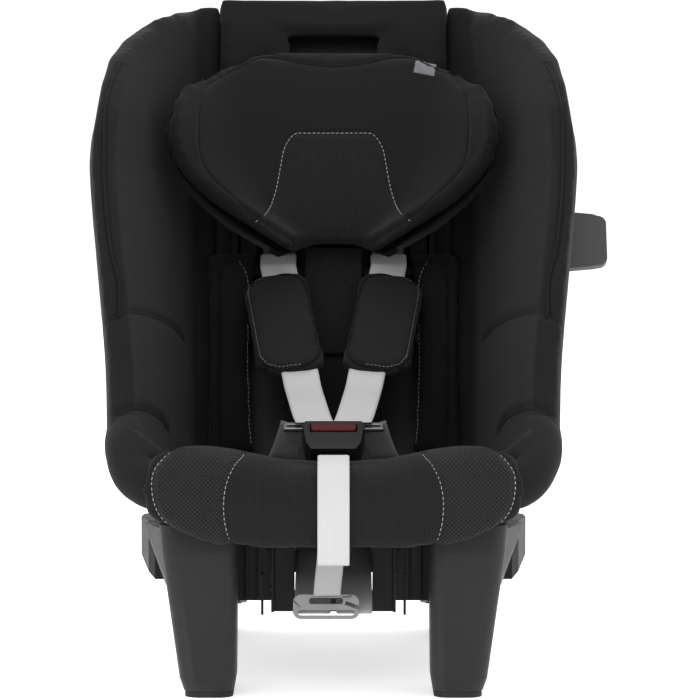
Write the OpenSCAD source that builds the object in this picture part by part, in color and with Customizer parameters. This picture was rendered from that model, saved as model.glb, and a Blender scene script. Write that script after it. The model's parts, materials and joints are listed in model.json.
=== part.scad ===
// Convertible car seat: a padded bucket shell that tilts on a two-legged base.
// +X is the occupant's left, -Y the front of the seat, +Z up; the floor is z = 0.

/* [Bucket] */
// Half width of the widest point of the side wings, at the plastic
wing_half_w = 232; // [228:1:236]
// Half width of the flat back of the bucket
back_half_w = 164; // [160:1:166]
// Thickness of the moulded bucket
shell_t = 5; // [4:0.5:5.5]
// Lean of the backrest from vertical, in degrees
back_lean = 22; // [22:1:22]

/* [Base] */
// Outer half width of the base side walls
base_half_w = 155; // [153:1:156]
// Half gap between the two front legs
leg_gap_half = 92; // [91:1:94]
// Thickness of the base walls
base_wall_t = 5; // [4:0.5:6]
// Height of the rubber soles
sole_t = 6; // [5:1:8]

/* [Motion] */
// Height of the axis that the bucket tilts about
tilt_z = 480; // [480:1:480]
// Depth of the axis that the bucket tilts about
tilt_y = 60; // [60:1:60]
// Radius of the curved runners under the bucket
runner_r = 372; // [371:0.5:372.5]

/* [Harness] */
// Width of the shoulder and hip webbing
web_w = 38; // [36:1:38]
// Thickness of the webbing
web_t = 2.2; // [1.6:0.2:2.4]
// Width of the tightening strap
pull_w = 30; // [28:1:32]

/* [Support leg] */
// Width of the outer leg tube
leg_tube_w = 40; // [38:1:42]
// Depth of the outer leg tube
leg_tube_d = 22; // [20:1:24]

/* [Hidden] */
$fn = 48;
LEFT = -1;
RIGHT = 1;
gap = 2.4;            // between a soft part and what it lies on
deck_gap = 2;         // between the runners and the base deck
cradle_r = runner_r + deck_gap;

// ---------- vector helpers ----------
function unit(v) = v / norm(v);
function mix(a, b, t) = a * (1 - t) + b * t;
function across(tangent) = unit([1, 0, 0] - tangent[0] * tangent);
// Catmull-Rom value of a table of rows at position v, counted in rows
function row_at(t, v) =
  let (n = len(t) - 1, i = min(max(floor(v), 0), n - 1), f = v - i,
       p0 = t[max(i - 1, 0)], p1 = t[i], p2 = t[i + 1], p3 = t[min(i + 2, n)])
  0.5 * (2 * p1 + (p2 - p0) * f + (2 * p0 - 5 * p1 + 4 * p2 - p3) * f * f
    + (3 * p1 - p0 - 3 * p2 + p3) * f * f * f);

// ---------- curved sheet that wraps round the occupant ----------
// A row of a table is [middle y, middle z, rim y, rim z, half width at the back, half width at the rim].
// u runs from 0 in the middle over CORNER, where the back turns into the wing, to 1 at the rim.
CORNER_A = 0.42;
CORNER_B = 0.56;
corner_reach = 0.16;
function sheet_point(t, u, v) =
  let (r = row_at(t, v), s = sign(u), a = abs(u),
       mid = [0, r[0], r[1]], knee = [r[4], r[0], r[1]], rim = [r[5], r[2], r[3]],
       before = mix(knee, mid, corner_reach * 1.1), after = mix(knee, rim, corner_reach),
       p = a < CORNER_A ? mix(mid, before, a / CORNER_A)
         : a > CORNER_B ? mix(after, rim, (a - CORNER_B) / (1 - CORNER_B))
         : let (f = (a - CORNER_A) / (CORNER_B - CORNER_A))
           before * (1 - f) * (1 - f) + knee * 2 * f * (1 - f) + after * f * f)
  [s * p[0], p[1], p[2]];
EPS = 0.01;
// unit normal towards the occupant
function sheet_normal(t, u, v) =
  let (n = len(t) - 1, e = EPS,
       pu = sheet_point(t, u + e, v) - sheet_point(t, u - e, v),
       pv = sheet_point(t, u, min(v + e, n)) - sheet_point(t, u, v - e))
  unit(cross(pv, pu));
function sheet_at(t, u, v, d) = sheet_point(t, u, v) + d * sheet_normal(t, u, v);

// closed solid between two skins of a sheet, swept over the v positions; each skin is a list of [u, offset],
// or a function of v that gives one
function skin_row(skin, v) = is_function(skin) ? skin(v) : skin;
module band(t, skin_a, skin_b, vs) {
  nu = len(skin_row(skin_a, 0));
  nv = len(vs);
  n = nu * nv;
  points = [for (skin = [skin_a, skin_b]) for (v = vs) for (q = skin_row(skin, v))
    sheet_at(t, q[0], v, q[1])];
  function cell(k, i, j) = k * n + j * nu + i;
  faces = concat(
    [for (j = [0 : nv - 2]) for (i = [0 : nu - 2]) for (f = [
      [cell(0, i, j), cell(0, i, j + 1), cell(0, i + 1, j + 1)],
      [cell(0, i, j), cell(0, i + 1, j + 1), cell(0, i + 1, j)],
      [cell(1, i, j), cell(1, i + 1, j + 1), cell(1, i, j + 1)],
      [cell(1, i, j), cell(1, i + 1, j), cell(1, i + 1, j + 1)]]) f],
    [for (i = [0 : nu - 2]) for (f = [
      [cell(0, i, 0), cell(0, i + 1, 0), cell(1, i + 1, 0)],
      [cell(0, i, 0), cell(1, i + 1, 0), cell(1, i, 0)],
      [cell(0, i, nv - 1), cell(1, i + 1, nv - 1), cell(0, i + 1, nv - 1)],
      [cell(0, i, nv - 1), cell(1, i, nv - 1), cell(1, i + 1, nv - 1)]]) f],
    [for (j = [0 : nv - 2]) for (f = [
      [cell(0, 0, j), cell(1, 0, j + 1), cell(0, 0, j + 1)],
      [cell(0, 0, j), cell(1, 0, j), cell(1, 0, j + 1)],
      [cell(0, nu - 1, j), cell(0, nu - 1, j + 1), cell(1, nu - 1, j + 1)],
      [cell(0, nu - 1, j), cell(1, nu - 1, j + 1), cell(1, nu - 1, j)]]) f]);
  polyhedron(points, faces, convexity = 8);
}
module layer(t, us, vs, d0, d1) { band(t, [for (u = us) [u, d0]], [for (u = us) [u, d1]], vs); }

// solid through a list of rings, each a list of points, that ends in flat caps
module loft(rings) {
  m = len(rings[0]);
  last = len(rings) - 1;
  faces = concat(
    [for (j = [0 : last - 1]) for (i = [0 : m - 1]) for (f = [
      [j * m + i, (j + 1) * m + (i + 1) % m, j * m + (i + 1) % m],
      [j * m + i, (j + 1) * m + i, (j + 1) * m + (i + 1) % m]]) f],
    [[for (i = [0 : m - 1]) i]], [[for (i = [m - 1 : -1 : 0]) last * m + i]]);
  polyhedron([for (r = rings) for (p = r) p], faces, convexity = 6);
}

// flat webbing through the points of a path
module webbing(path, w = web_w, t = web_t) {
  n = len(path) - 1;
  loft([for (i = [0 : n])
    let (tangent = unit(path[min(i + 1, n)] - path[max(i - 1, 0)]), a = across(tangent), b = cross(a,
      tangent))
    [path[i] - a * w / 2 - b * t / 2, path[i] + a * w / 2 - b * t / 2,
     path[i] + a * w / 2 + b * t / 2, path[i] - a * w / 2 + b * t / 2]]);
}

// rounded rectangle made of exact arcs
module rounded_square(w, h, r) {
  translate([-w / 2 + r, -h / 2]) square([w - 2 * r, h]);
  translate([-w / 2, -h / 2 + r]) square([w, h - 2 * r]);
  for (x = [-1, 1]) for (y = [-1, 1]) translate([x * (w / 2 - r), y * (h / 2 - r)]) circle(r);
}
module rounded_plate(w, h, t, r) { linear_extrude(t) rounded_square(w, h, r); }

// a profile drawn in depth and height, extruded along X from x0 to x1
module along_x(x0, x1) { translate([x0, 0, 0]) rotate([90, 0, 90]) linear_extrude(x1 - x0) children(); }
module sided(side) { if (side == LEFT) mirror([1, 0, 0]) children(); else children(); }

// ---------- the bucket ----------
back_y = 146;
back_z = 175;
function back_plane(z) = back_y + tan(back_lean) * (z - back_z);
BUCKET = [
  [back_plane(668), 668, 236, 652, back_half_w - 4, wing_half_w - 34],
  [back_plane(625), 625, 150, 620, back_half_w - 4, wing_half_w - 10],
  [back_plane(556), 556, 66, 566, back_half_w - 2, wing_half_w - 3],
  [back_plane(487), 487, 22, 508, back_half_w, wing_half_w],
  [back_plane(415), 415, -28, 428, back_half_w, wing_half_w - 9],
  [back_plane(334), 334, -66, 355, back_half_w, wing_half_w - 18],
  [back_plane(254), 254, -88, 305, back_half_w - 2, wing_half_w - 23],
  [128, 162, -108, 272, back_half_w - 5, wing_half_w - 25],
  [20, 156, -130, 254, back_half_w - 5, wing_half_w - 26],
  [-95, 168, -154, 245, back_half_w + 2, wing_half_w - 28],
  [-168, 196, -182, 239, back_half_w - 4, wing_half_w - 40],
  [-208, 200, -204, 226, back_half_w - 12, wing_half_w - 62]];
BUCKET_END = len(BUCKET) - 1;
function steps(a, b, n) = [for (i = [0 : n]) a + (b - a) * i / n];
half_us = concat(steps(0, CORNER_A, 3), steps(CORNER_A + 0.035, CORNER_B, 3), steps(CORNER_B + 0.09, 1, 4));
full_us = concat([for (i = [len(half_us) - 1 : -1 : 1]) -half_us[i]], half_us);
bucket_vs = concat(steps(0, 6, 12), steps(6.33, 8, 5), steps(8.5, BUCKET_END, 5));

// frame on the plastic back: x right, y backwards through the shell, z up along the back
module on_back() { translate([0, back_plane(254), 254]) rotate([-back_lean, 0, 0]) children(); }
slot_in = 36;         // inner edge of a harness slot
slot_out = 83;        // outer edge of a harness slot
slot_low = 128;       // lowest point of the slots along the back
slot_top = 372;       // highest point of the slots in the fabric
rod_x = 92;
rod_r = 4;
rod_y = -11;
rod_low = 60;
rod_high = 411;

rail_x = 106;         // ribs beside the sliding carriage that carry the fabric
module seat_shell() {
  color([0.1, 0.1, 0.11]) difference() {
    union() {
      layer(BUCKET, full_us, bucket_vs, -shell_t, 0);
      on_back() for (s = [-1, 1]) translate([s * rail_x - 3, -20.5, 96])
        cube([6, 22, rod_high - 96]);
    }
    on_back() for (s = [-1, 1])
      translate([s > 0 ? slot_in : -slot_out, -20, slot_low]) cube([slot_out - slot_in, 40, 232]);
    translate([-26, -128, 120]) cube([52, 24, 120]);
    translate([-pull_w / 2 - 4, -200, 180]) cube([pull_w + 8, 12, 40]);
  }
}

// ---------- runners and base ----------
function arc(r, y0, y1, n) =
  [for (i = [0 : n]) let (y = y0 + (y1 - y0) * i / n) [y, tilt_z - sqrt(r * r - (y - tilt_y)
    * (y - tilt_y))]];
function under_shell(v, d) = let (p = sheet_at(BUCKET, 0, v, -d)) [p[1], p[2]];
runner_in = 60;
runner_out = 84;
module runners() {
  color([0.14, 0.14, 0.15]) for (s = [-1, 1]) sided(s) along_x(runner_in, runner_out) difference() {
    polygon(concat(arc(runner_r, -112, 178, 24), [for (v = [7.15 : 0.25 : 9.15])
      under_shell(v, shell_t + 0.8)]));
    for (y = [-60, 0, 60, 120]) translate([y, 138 + abs(y - 60) * abs(y - 60) / 1400]) circle(7);
  }
}

rear_y = 236;
foot_in = 104;        // inner face of the rear feet
module outer_wall_outline() {
  polygon(concat([[-128, 58], [20, 50], [118, 40], [150, sole_t], [232, sole_t], [rear_y, 60]],
    arc(cradle_r + 3, 220, -126, 20)));
}
module inner_wall_outline() {
  polygon(concat([[-128, 80], [20, 58], [118, 44], [232, 34], [rear_y, 60]],
    arc(cradle_r + 3, 220, -126, 20)));
}
function cradle_z(y) = tilt_z - sqrt(cradle_r * cradle_r - (y - tilt_y) * (y - tilt_y));
belt_slot_y = [-88, -30];
belt_slot_z = [84, 110];
module belt_slots(x0, x1) {
  for (s = [-1, 1]) translate([s > 0 ? x0 : -x1, belt_slot_y[0], belt_slot_z[0]])
    cube([x1 - x0, belt_slot_y[1] - belt_slot_y[0], belt_slot_z[1] - belt_slot_z[0]]);
}
deck_in = 61.2;
web_y = -120;
block_half = 61;      // middle block of the front web
block_low = 69.6;
web_low = 80.6;
web_top = 151;
RIB_YS = [-14, 46, 106, 166, 206];
module base_side(side) {
  color([0.05, 0.05, 0.055]) difference() {
    sided(side) {
      along_x(base_half_w - base_wall_t, base_half_w) outer_wall_outline();
      along_x(leg_gap_half, leg_gap_half + base_wall_t) inner_wall_outline();
      along_x(deck_in, base_half_w) polygon(concat(arc(cradle_r, -126, 220, 24), arc(cradle_r + 4, 220,
        -126, 24)));
      along_x(deck_in, deck_in + 4) polygon(concat(arc(cradle_r + 3, -126, 220, 24), arc(cradle_r + 20,
        220, -126, 24)));
      for (y = RIB_YS) translate([leg_gap_half + 1, y, 62])
        cube([base_half_w - leg_gap_half - 2, 4, cradle_z(y) - 61]);
      for (y = [152, 226]) translate([foot_in, y, sole_t]) cube([base_half_w - foot_in - 1, 4, 60]);
      along_x(foot_in, foot_in + 4) polygon([[152, sole_t], [230, sole_t], [rear_y - 2, 66], [128, 66]]);
      // outer part of the front web with its ribs and hanging fin
      translate([deck_in, web_y, web_low]) cube([base_half_w - deck_in - 1, 4, web_top - web_low]);
      for (x = [72, 84, 96]) translate([x - 1.2, web_y - 7, web_low + 2])
        cube([2.4, 9, web_top - web_low - 4]);
      translate([68.5, web_y - 5, 67]) cube([2.4, 9, 40]);
    }
    belt_slots(leg_gap_half - 2, base_half_w + 2);
  }
}
// front block, an open box behind which the harness webbing runs
module base_front_web() {
  color([0.05, 0.05, 0.055]) difference() {
    union() {
      translate([-block_half, web_y, block_low]) cube([2 * block_half, 4, web_top - block_low]);
      for (z = [block_low, block_low + 14]) translate([-block_half, web_y, z])
        cube([2 * block_half, 26, 3]);
      for (x = [-block_half, -29, 26, block_half - 3]) translate([x, web_y - 6, block_low])
        cube([3, 10, 78]);
    }
    translate([-38, web_y - 1, 90]) cube([76, 6, 70]);
    translate([-38, web_y - 7, 96]) cube([76, 8, 60]);
  }
}
// bars that join the sides at the rear and carry the support leg
module base_rear_bars() {
  color([0.05, 0.05, 0.055]) {
    translate([-block_half, 206, cradle_z(206) - 26]) cube([2 * block_half, 5, 26]);
    translate([-leg_gap_half + 0.4, 206, 64]) cube([2 * leg_gap_half - 0.8, 5, 22]);
    for (x = [-bracket_half - 12, bracket_half + 8]) translate([x, 206, 66])
      cube([4, 5, cradle_z(206) - 68]);
  }
}

leg_top = 165;
module leg_outline(w_in, w_out, y0, y1, r) {
  translate([(w_in + w_out) / 2, (y0 + y1) / 2]) rounded_square(w_out - w_in, y1 - y0, r);
}
leg_front = -214;
module front_leg(side) {
  color([0.17, 0.17, 0.18]) sided(side) difference() {
    union() {
      hull() {
        translate([0, 0, sole_t]) linear_extrude(1)
          leg_outline(leg_gap_half + 3, 143, leg_front + 3, -150, 15);
        translate([0, 0, sole_t + 12]) linear_extrude(1)
          leg_outline(leg_gap_half + 1, 147, leg_front, -146, 16);
        translate([0, 0, 138]) linear_extrude(1) leg_outline(leg_gap_half, 164, leg_front, -129, 16);
        translate([0, 0, leg_top - 1]) linear_extrude(1)
          leg_outline(leg_gap_half, 166, leg_front + 3, -129, 14);
      }
      // cheek that reaches out to the belt guide
      hull() {
        translate([135, -190, 98]) cube([20, 58, 1]);
        translate([150, -128, 98]) cube([14, 22, 1]);
        translate([135, -190, 158]) cube([28, 58, 1]);
        translate([160, -112, 156]) cube([26, 14, 1]);
      }
    }
    along_x(80, 200) translate([tilt_y, tilt_z]) circle(r = 367, $fn = 180);
    translate([80, -128, 60]) cube([base_half_w + 0.6 - 80, 60, 120]);
    translate([0, 0, 20]) hull() {
      linear_extrude(1) leg_outline(leg_gap_half + 6, 140, leg_front + 7, -152, 10);
      translate([0, 0, 124]) linear_extrude(1) leg_outline(leg_gap_half + 5, 158, leg_front + 6, -137, 10);
    }
  }
}

module guide_plan(inset) {
  polygon([[base_half_w + 0.6, -96 + inset], [176, -96 + inset], [183 - inset, -84], [195 - inset, 0],
    [195 - inset, 40], [base_half_w + 12, 104 - inset], [base_half_w + 0.6, 104 - inset]]);
}
module belt_guides() {
  color([0.2, 0.2, 0.21]) for (s = [-1, 1]) sided(s) difference() {
    intersection() {
      translate([0, 0, 60]) linear_extrude(110) guide_plan(0);
      along_x(base_half_w, 210)
        polygon([[-96, 98], [-84, 104], [30, 112], [106, 92], [106, 134], [60, 146], [-40, 152],
          [-96, 156]]);
    }
    intersection() {
      translate([-4, 0, 30]) linear_extrude(150) guide_plan(4);
      along_x(base_half_w - 2, 194)
        polygon([[-92, 40], [30, 40], [100, 40], [100, 130], [60, 141], [-40, 147], [-92, 151]]);
    }
  }
}

module foot_soles() {
  color([0.03, 0.03, 0.03]) for (s = [-1, 1]) sided(s) {
    linear_extrude(sole_t - 0.2) leg_outline(leg_gap_half + 4, 142, leg_front + 4, -151, 14);
    translate([(foot_in + base_half_w) / 2, 191, 0])
      rounded_plate(base_half_w - foot_in, 78, sole_t - 0.2, 8);
  }
}

pivot_y = 232;
pivot_z = 84;
pin_r = 5;
bracket_half = 33;
module leg_bracket() {
  color([0.55, 0.56, 0.58]) {
    for (s = [-1, 1]) sided(s) difference() {
      along_x(bracket_half, bracket_half + 4) union() {
        translate([211.2, pivot_z - 16]) square([pivot_y - 211, 32]);
        translate([pivot_y, pivot_z]) circle(16);
      }
      translate([bracket_half - 1, pivot_y, pivot_z]) rotate([0, 90, 0]) cylinder(r = pin_r, h = 6);
    }
    difference() {
      translate([-bracket_half - 14, 211.2, pivot_z - 18]) cube([2 * bracket_half + 28, 4, 44]);
      for (s = [-1, 1]) translate([s * (bracket_half + 9), 214, pivot_z + 18]) rotate([90, 0, 0])
        cylinder(r = 2.5, h = 10, center = true);
    }
  }
}
module leg_pivot_pin() {
  color([0.75, 0.76, 0.78]) translate([-bracket_half - 8, pivot_y, pivot_z]) rotate([0, 90, 0]) {
    translate([0, 0, 4]) cylinder(r = pin_r, h = 2 * bracket_half + 12);
    cylinder(r = 8, h = 3.8);
  }
}
module base_screws() {
  color([0.7, 0.7, 0.72]) for (s = [-1, 1]) for (y = [-10, 50, 110]) sided(s)
    translate([base_half_w + 0.1, y, 112 - abs(y - 10) * 0.06]) rotate([0, 90, 0]) difference() {
      cylinder(r = 4.5, h = 2.6);
      translate([0, 0, 1.4]) cylinder(r = 2, h = 2, $fn = 6);
    }
}

// ---------- support leg, folded up behind the bucket ----------
// frame on the leg: -y runs from the pivot to the foot, parallel to the backrest, and +z faces the rear
module on_leg() { translate([0, pivot_y, pivot_z]) rotate([-90 - back_lean, 0, 0]) children(); }
tube_start = 22;
tube_len = 226;
button_y = -tube_start - tube_len + 24;
module leg_hinge_block() {
  color([0.12, 0.12, 0.13]) on_leg() difference() {
    union() {
      rotate([0, 90, 0]) translate([0, 0, -bracket_half + 1.5]) cylinder(r = 13, h = 2 * bracket_half - 3);
      translate([-leg_tube_w / 2 - 4, -44, -13]) cube([leg_tube_w + 8, 44, 26]);
    }
    rotate([0, 90, 0]) translate([0, 0, -40]) cylinder(r = pin_r + 0.06, h = 80);
    translate([-leg_tube_w / 2 - 0.1, -tube_start - 60, -leg_tube_d / 2 - 0.1])
      cube([leg_tube_w + 0.2, 60.1, leg_tube_d + 0.2]);
  }
}
module tube(w, d, wall, y0, y1) {
  rotate([90, 0, 0]) translate([0, 0, -y1]) linear_extrude(y1 - y0) difference() {
    rounded_square(w, d, 5);
    rounded_square(w - 2 * wall, d - 2 * wall, 3.5);
  }
}
module leg_outer_tube() {
  color([0.62, 0.63, 0.65]) on_leg() tube(leg_tube_w, leg_tube_d, 1.8, -tube_start - tube_len, -tube_start);
}
module leg_inner_tube() {
  color([0.7, 0.71, 0.73]) on_leg() difference() {
    tube(leg_tube_w - 4.4, leg_tube_d - 4.4, 1.6, -tube_start - tube_len - 30, -tube_start - 24);
    for (i = [0 : 5]) translate([0, button_y - 30 + i * 28, 0]) cylinder(r = 4, h = leg_tube_d);
  }
}
foot_half = 56;
foot_y = -tube_start - tube_len - 30;
module leg_foot() {
  color([0.07, 0.07, 0.075]) on_leg() difference() {
    union() {
      translate([-foot_half, foot_y - 26, -13.5]) cube([2 * foot_half, 24, 27]);
      translate([-leg_tube_w / 2, foot_y - 4, -13.5]) cube([leg_tube_w, 30, 27]);
      for (s = [-1, 1]) translate([s * foot_half, foot_y - 14, -13.5]) cylinder(r = 12, h = 27);
    }
    translate([-leg_tube_w / 2 + 2, foot_y - 0.1, -leg_tube_d / 2 + 2])
      cube([leg_tube_w - 4, 40, leg_tube_d - 4]);
    for (s = [-1, 1]) translate([s * 36 - 14, foot_y - 27, -6]) cube([28, 8, 8]);
  }
}
module leg_foot_sole() {
  color([0.03, 0.03, 0.03]) on_leg() translate([0, foot_y - 29.2, 0]) rotate([90, 0, 0])
    rounded_plate(2 * foot_half + 6, 25, 3, 6);
}
collar_top = 19;
module leg_collar() {
  color([0.1, 0.1, 0.105]) on_leg() translate([0, button_y, 0]) difference() {
    translate([0, 17, 2]) rotate([90, 0, 0]) rounded_plate(leg_tube_w + 12, 2 * collar_top - 4, 34, 8);
    translate([0, 20, 0]) rotate([90, 0, 0]) rounded_plate(leg_tube_w + 0.1, leg_tube_d + 0.1, 40, 5);
    cylinder(r = 5.06, h = 40);
  }
}
module leg_lock_button() {
  color([0.75, 0.1, 0.08]) on_leg() translate([0, button_y, 0]) {
    translate([0, 0, collar_top - 4.5]) cylinder(r = 5, h = 8);
    translate([0, 0, collar_top + 3.2]) cylinder(r = 8, h = 3);
  }
}

// ---------- rear cover, rods and screws ----------
module back_cover() {
  color([0.13, 0.13, 0.14]) on_back() difference() {
    translate([0, shell_t + 0.4, 0]) rotate([-90, 0, 0]) translate([0, -265, 0])
      rounded_plate(210, 360, 30, 26);
    translate([0, shell_t, 0]) rotate([-90, 0, 0]) translate([0, -265, -1]) rounded_plate(203, 353, 28, 23);
    for (z = [125 : 14 : 209]) translate([-32, 20, z]) cube([64, 20, 5]);
    translate([-60, shell_t + 8, 400]) cube([120, 30, 60]);
    translate([-83, 8, 80]) cube([166, 22, 20]);
  }
}
module guide_rods() {
  color([0.78, 0.79, 0.8]) on_back() for (s = [-1, 1]) translate([s * rod_x, rod_y, rod_low])
    cylinder(r = rod_r, h = rod_high - rod_low);
}
module shell_screws() {
  color([0.7, 0.7, 0.72]) on_back() for (s = [-1, 1]) for (z = [108, 420])
    translate([s * 84, shell_t + 30.6, z]) rotate([-90, 0, 0]) difference() {
      cylinder(r = 5, h = 2.4);
      translate([0, 0, 1.2]) cylinder(r = 2.2, h = 2, $fn = 6);
    }
}

// ---------- side guards ----------
guard_hinge = [212, 103, 424];
guard_lean = 26;      // lean of the hinge line with the wing
module at_guard(side) { sided(side) translate(guard_hinge) rotate([-guard_lean, 0, 0]) children(); }
module guard_body() {
  difference() {
    union() {
      rotate([90, 0, 0]) linear_extrude(9, center = true) {
        polygon([[7, -34], [58, -29], [66, -27], [66, 27], [58, 30], [7, 35]]);
        translate([62, 0]) rounded_square(20, 56, 9);
      }
      for (z = [-24, 13]) {
        translate([0, 0, z]) cylinder(r = 6, h = 12);
        translate([0, -4.5, z]) cube([9, 9, 12]);
      }
    }
    translate([0, 0, -40]) cylinder(r = 3.06, h = 80);
  }
}
module guard_left() {
  color([0.15, 0.15, 0.16]) at_guard(LEFT) rotate([0, 0, 78]) guard_body();
}
module guard_right() {
  color([0.15, 0.15, 0.16]) at_guard(RIGHT) guard_body();
}
module guard_pins() {
  color([0.75, 0.76, 0.78]) for (s = [-1, 1]) at_guard(s) translate([0, 0, -31]) cylinder(r = 3, h = 63);
}
// each row is the start and length of one knuckle along the pin
GUARD_KNUCKLES = [[-31, 6.5], [-11.5, 24], [25.5, 6.5]];
module guard_brackets() {
  color([0.1, 0.1, 0.11]) for (s = [-1, 1]) at_guard(s) difference() {
    for (k = GUARD_KNUCKLES) translate([0, 0, k[0]]) {
      translate([-7.6, -6, 0]) cube([7.6, 12, k[1]]);
      cylinder(r = 6, h = k[1]);
    }
    translate([0, 0, -40]) cylinder(r = 3, h = 80);
  }
}

// ---------- padding ----------
// the cushion of a wing starts in the corner of the back, rolls over the rim and comes down outside it
// The skins run from the corner of the back over the rim and end behind the plastic. In the lower corner the
// tail behind the plastic grows, so that the cushion wraps the outside of the shell there.
function ease(x) = let (f = min(max(x, 0), 1)) f * f * (3 - 2 * f);
// 1 above the top edge of the plastic, where a pad reaches over it, and 0 below
function lid(v) = ease((-0.06 - v) / 0.04);
lid_in = -12;
LID_VS = [-0.24, -0.17, -0.1, -0.06];
function tail_u(v, k) = mix(1 - k * (0.05 + 0.06 * ease((v - 8) / 1.2)), 1.016 + 0.002 * k, lid(v));
WING_US = [0.4, 0.44, 0.48, 0.52, 0.56, 0.67, 0.78, 0.89];
WING_INNER = function(v) let (top = lid(v))
  concat([for (u = WING_US) [u, mix(gap, lid_in, top)]],
    [[1.014, mix(gap, lid_in - 0.2, top)], [1.014 + 0.002 * top, mix(-shell_t - gap, lid_in - 0.4, top)]],
    [for (k = [1, 2]) [tail_u(v, k), mix(-shell_t - gap, lid_in - 0.4 - 0.2 * k, top)]]);
WING_OUTER = function(v) let (top = lid(v), grow = ease((v - 8) / 1.2))
  concat([for (u = WING_US) [u, u < 0.41 ? 13 : 14]],
    [[1.04, 12], [1.06, -4 - 4 * grow], [mix(tail_u(v, 1) + 0.05, 1.05, top), -13 - 11 * grow],
     [mix(tail_u(v, 2), 1.035, top), mix(-8.5 - 9 * grow, -13.4, top)]]);
module side_bolster(side) {
  color([0.12, 0.12, 0.13]) sided(side)
    band(BUCKET, WING_INNER, WING_OUTER, concat(LID_VS, steps(0.1, 6, 12), steps(6.5, 10.8, 8)));
}
pad_in = 21;          // clear space for the headrest carriage, in front of the plastic
pad_out = 34;
BACK_US = steps(-0.38, 0.38, 8);
module upper_back_pad() {
  color([0.11, 0.11, 0.12]) difference() {
    union() {
      layer(BUCKET, BACK_US, steps(0.55, 3.7, 8), pad_in, pad_out);
      band(BUCKET, function(v) [for (u = BACK_US) [u, mix(gap, lid_in, lid(v))]],
        [for (u = BACK_US) [u, pad_out]], concat(LID_VS, [0, 0.2, 0.4, 0.58]));
    }
    on_back() translate([-slot_out - 1, -60, 0]) cube([2 * slot_out + 2, 60, slot_top]);
    on_back() translate([-44, -60, 300]) cube([88, 60, 106]);
    on_back() translate([-rail_x - 4, -30, 200]) cube([2 * rail_x + 8, 31, 213]);
  }
}
module back_pad() {
  color([0.16, 0.16, 0.17]) layer(BUCKET, steps(-0.19, 0.19, 6), steps(4.45, 6.8, 8), pad_in, pad_out);
}
module inlay_pad(side) {
  color([0.09, 0.09, 0.1]) sided(side)
    layer(BUCKET, steps(0.256, 0.43, 4), steps(4.25, 6.7, 8), pad_in, pad_out + 4);
}
module seat_cushion() {
  color([0.12, 0.12, 0.13]) difference() {
    layer(BUCKET, steps(-0.38, 0.38, 8), steps(7.5, 10, 8), gap, 24);
    translate([-26, -130, 120]) cube([52, 28, 120]);
  }
}

// front roll: a row is [x, y, height of its top, height of its bottom, reach over the front lip]
APRON = [[0, -226, 226, 141, 56], [50, -226, 228, 141, 56], [98, -225, 238, 144, 50],
  [136, -222, 244, 153, 22],
  [160, -219, 244, 166, 4], [176, -214, 236, 176, 3]];
function apron_ring(p, dir) =
  let (r = [dir[1], -dir[0]], h = p[2] - p[3], a = p[4])
  [for (q = [[-a, -6], [-a * 0.6, -1], [-a * 0.2, 0], [10, -6], [20, -20], [24, -h / 2], [20, -h + 10],
    [12, -h], [4, -h],
             [0, -h + 12], [-2, -40], [-4 - a * 0.15, -24], [-a, -21]])
    [p[0] + r[0] * q[0], p[1] + r[1] * q[0], p[2] + q[1]]];
module apron_pad() {
  n = len(APRON) - 1;
  vs = steps(0, n, 10);
  right = [for (v = vs) let (p = row_at(APRON, v), a = row_at(APRON, max(v - 0.05, 0)),
    b = row_at(APRON, min(v + 0.05, n)))
    apron_ring(p, v == 0 ? [1, 0] : unit([b[0] - a[0], b[1] - a[1]]))];
  left = [for (i = [len(vs) - 1 : -1 : 1]) [for (p = right[i]) [-p[0], p[1], p[2]]]];
  color([0.13, 0.13, 0.14]) difference() {
    loft(concat(left, right));
    translate([-pull_w / 2 - 2, -200, 200]) cube([pull_w + 4, 10, 40]);
  }
}

// ---------- harness ----------
function back_point(x, y, z) = [x, back_plane(254) + y * cos(back_lean) + z * sin(back_lean),
  254 - y * sin(back_lean) + z * cos(back_lean)];
slot_point = back_point(59, -22, 155);
pad_top = [59, 186, 396];
pad_low = [34, 62, 288];
tongue_point = [19, -52, 250];
module chest_straps() {
  color([0.82, 0.82, 0.8]) for (s = [-1, 1]) sided(s)
    webbing([pad_low, mix(pad_low, pad_top, -0.1), [28, 24, 268], [22, -24, 254], tongue_point]);
}
module shoulder_strap(side) {
  color([0.82, 0.82, 0.8]) sided(side)
    webbing([mix(pad_low, pad_top, 0.02), mix(pad_low, pad_top, 0.5), pad_top, slot_point,
      back_point(59, 8, 156)]);
}
strap_dir = unit(pad_top - pad_low);
strap_across = across(strap_dir);
strap_up = cross(strap_dir, strap_across);
// frame on the strap: x across it, y away from the occupant, z up along it
module on_strap(side) {
  a = strap_across;
  u = strap_up;
  d = strap_dir;
  sided(side) multmatrix([[a[0], u[0], d[0], pad_low[0]], [a[1], u[1], d[1], pad_low[1]], [a[2], u[2],
    d[2], pad_low[2]]])
    children();
}
shoulder_pad_w = 76;
shoulder_pad_len = 150;
module shoulder_pad(side) {
  color([0.14, 0.14, 0.16]) on_strap(side) difference() {
    translate([8, 7, 2 + shoulder_pad_len / 2]) rotate([90, 0, 0])
      rounded_plate(shoulder_pad_w, shoulder_pad_len, 14, 18);
    translate([-web_w / 2 - 2, -2, -10]) cube([web_w + 4, 4, 200]);
  }
}

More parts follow.
